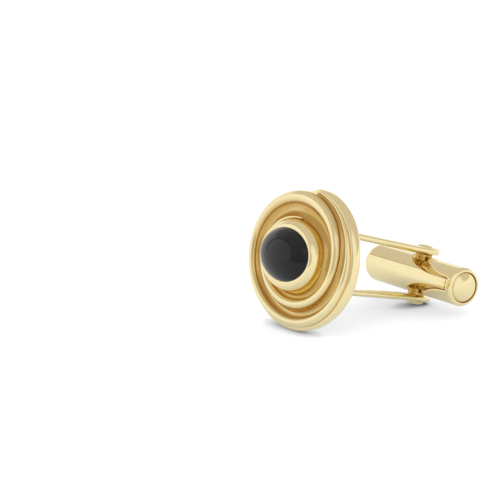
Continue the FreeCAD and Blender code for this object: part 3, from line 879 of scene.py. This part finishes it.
# The end plug: a domed gold button on a short stem, pressed into the sleeve's end. A fine joint stays
# open round it, and the gold is painted darker towards that joint and on the stem, as painted shade.
plug_low, plug_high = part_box("end_plug")
plug_gap = 0.03 * mm
plug_brim = 0.16 * mm
plug_stem_half = 0.5 * mm
plug_swell = 0.35 * mm
plug_rise = plug_high.x - sleeve_high.x + plug_swell
plug_shown_half = plug_half - plug_gap
cap_tall = plug_brim + plug_rise
cap_radius = (plug_shown_half**2 + cap_tall**2) / (2 * cap_tall)
cap_steps = 4 * round_steps
joint_shades = [1.0, 1.0, 0.9, 0.6, 0.3]
plug_profile = [(plug_stem_half, plug_low.x), (plug_stem_half, plug_seat), (plug_shown_half, plug_seat)]
plug_shades = [1.0] * len(plug_profile) + joint_shades + [0.0] * (cap_steps - len(joint_shades))
for step in range(cap_steps):
    bow = math.asin(plug_shown_half / cap_radius) * (1 - step / cap_steps)
    reach = sleeve_high.x + plug_rise - cap_radius * (1 - math.cos(bow))
    plug_profile.append((cap_radius * math.sin(bow), reach))
end_plug = turned("end_plug_piece", plug_profile, "X", pivot_place, plug_shades)
fit(end_plug, "end_plug", "toggle", face_gold)

# The detent inside the stem: a steel plunger that rests on the rivet, and the coil spring behind it.
# Both are drawn steel and hidden once assembled, so the solids of the frame show as they are.
steel_bright = (0.62, 0.62, 0.63, 1)
steel_dark = (0.42, 0.42, 0.43, 1)
steel_grain_size = 0.08 * mm
steel_grain_detail = 3.0
steel_gloss = 0.2
steel_gloss_spread = 0.15


def drawn_steel():
    material, tree = new_material("drawn_steel")
    grain = tree.noise(steel_grain_size, steel_grain_detail)
    colour = tree.blend(grain, steel_dark, steel_bright)
    gloss = steel_gloss + steel_gloss_spread * grain
    shader = tree.node(
        "ShaderNodeBsdfPrincipled", {}, {"Base Color": colour, "Metallic": 1.0, "Roughness": gloss}
    )
    tree.node("ShaderNodeOutputMaterial", {}, {"Surface": shader})
    return material


steel = drawn_steel()
for hidden in ("detent_plunger", "detent_spring"):
    frame["nodes"][hidden].data.materials.clear()
    frame["nodes"][hidden].data.materials.append(steel)

# The camera: it stands at the photograph's place, which is given as a direction and a distance from
# the face, because the cufflink lies tilted on the table.
scene = bpy.context.scene
scene.view_settings.view_transform = "Standard"
scene.cycles.caustics_reflective = False
camera_azimuth = math.radians(54.388)
camera_elevation = math.radians(4.490)
camera_roll = math.radians(11.367)
camera_distance = 262.3 * mm
camera_lens = 164.8
camera_sensor = 36
camera_near = 1 * mm
aim = Vector((-3.49, -5.859, -0.363)) * mm
camera_data = bpy.data.cameras.new("camera")
camera_data.lens = camera_lens
camera_data.sensor_width = camera_sensor
camera_data.clip_start = camera_near
camera = bpy.data.objects.new("camera", camera_data)
scene.collection.objects.link(camera)
back = Vector(
    (
        math.sin(camera_azimuth) * math.cos(camera_elevation),
        -math.cos(camera_azimuth) * math.cos(camera_elevation),
        math.sin(camera_elevation),
    )
)
look = (-back).to_track_quat("-Z", "Y").to_matrix().to_4x4() @ Matrix.Rotation(camera_roll, 4, "Z")
camera.matrix_world = face_place @ Matrix.Translation(aim + back * camera_distance) @ look
scene.camera = camera

# The table: plain white, spread well past the frame. It takes a soft shadow that is darker close to
# the cufflink, and it glows a little, so that it shows as white to the eye and in the polish.
white = (1, 1, 1, 1)
table_half = 600 * mm
table_white = (1.65, 1.65, 1.65, 1)
contact_reach = 1.3 * mm
contact_share = 0.5
glow_share = 0.35
table_corners = [(-table_half, -table_half, 0), (table_half, -table_half, 0)]
table_corners += [(table_half, table_half, 0), (-table_half, table_half, 0)]


def white_table():
    material, tree = new_material("table_white")
    seen = tree.node("ShaderNodeLightPath", {}, {}, "Is Camera Ray")
    seen += tree.node("ShaderNodeLightPath", {}, {}, "Is Transmission Ray")
    lit = tree.node("ShaderNodeBsdfDiffuse", {}, {"Color": table_white})
    open_tone = tree.node(
        "ShaderNodeAmbientOcclusion", {}, {"Color": white, "Distance": contact_reach}, "Color"
    )
    contact = tree.node("ShaderNodeEmission", {}, {"Color": open_tone, "Strength": 1.0})
    to_eye = tree.node("ShaderNodeMixShader", {}, {0: contact_share, 1: lit, 2: contact})
    shaded = tree.node("ShaderNodeBsdfDiffuse", {}, {"Color": white})
    glow = tree.node("ShaderNodeEmission", {}, {"Color": white, "Strength": 1.0})
    to_polish = tree.node("ShaderNodeMixShader", {}, {0: glow_share, 1: shaded, 2: glow})
    paint = tree.node("ShaderNodeMixShader", {}, {0: seen, 1: to_polish, 2: to_eye})
    tree.node("ShaderNodeOutputMaterial", {}, {"Surface": paint})
    return material


table_mesh = bpy.data.meshes.new("table")
table_mesh.from_pydata(table_corners, [], [(0, 1, 2, 3)])
table_mesh.materials.append(white_table())
table = bpy.data.objects.new("table", table_mesh)
scene.collection.objects.link(table)

# The surround: with the table's glow it gives the light, without lamps. The polish mirrors a bright low
# band under a dimmer ceiling, and soft panels. Each panel has its direction, the cosines at which it is
# full and gone, and its tone.
ceiling_tone = (0.68, 0.63, 0.60, 1)
band_top = 0.36
band_fade = 0.10
light_overhead = 0.3
light_from_side = 2.1
panels = (
    ((-0.70, -0.70, 0.14), 0.875, 0.85, (0.50, 0.47, 0.44, 1)),
    ((-0.70, -0.70, 0.14), 0.905, 0.885, (1.0, 1.0, 1.0, 1)),
    ((0.75, -0.50, 0.43), 0.88, 0.66, (0.97, 0.97, 0.97, 1)),
    ((0.25, -0.95, 0.15), 0.91, 0.84, (0.60, 0.58, 0.56, 1)),
)


def soft_edge(tree, value, gone, full):
    return tree.node(
        "ShaderNodeMapRange",
        {"interpolation_type": "SMOOTHSTEP"},
        {"Value": value, "From Min": gone, "From Max": full},
    )


def studio_surround():
    world = bpy.data.worlds.new("studio")
    world.use_nodes = True
    world.node_tree.nodes.clear()
    tree = Wire(world.node_tree)
    heading = tree.node("ShaderNodeTexCoord", {}, {}, "Generated")
    up = tree.node("ShaderNodeSeparateXYZ", {}, {0: heading}, "Z")
    tone = tree.blend(soft_edge(tree, up, band_top, band_top + band_fade), white, ceiling_tone)
    for centre, full, gone, panel_tone in panels:
        towards = {0: heading, 1: Vector(centre).normalized()}
        along = tree.node("ShaderNodeVectorMath", {"operation": "DOT_PRODUCT"}, towards, "Value")
        tone = tree.blend(soft_edge(tree, along, gone, full), tone, panel_tone)
    mirrored = tree.node("ShaderNodeLightPath", {}, {}, "Is Glossy Ray")
    scattered = tree.node("ShaderNodeLightPath", {}, {}, "Is Diffuse Ray")
    side_light = light_overhead + light_from_side * (1 - tree.maths("MAXIMUM", up, 0.0))
    strength = 1 + scattered * (side_light - 1)
    sky = tree.node(
        "ShaderNodeBackground", {}, {"Color": tree.blend(mirrored, white, tone), "Strength": strength}
    )
    tree.node("ShaderNodeOutputWorld", {}, {"Surface": sky})
    return world


scene.world = studio_surround()
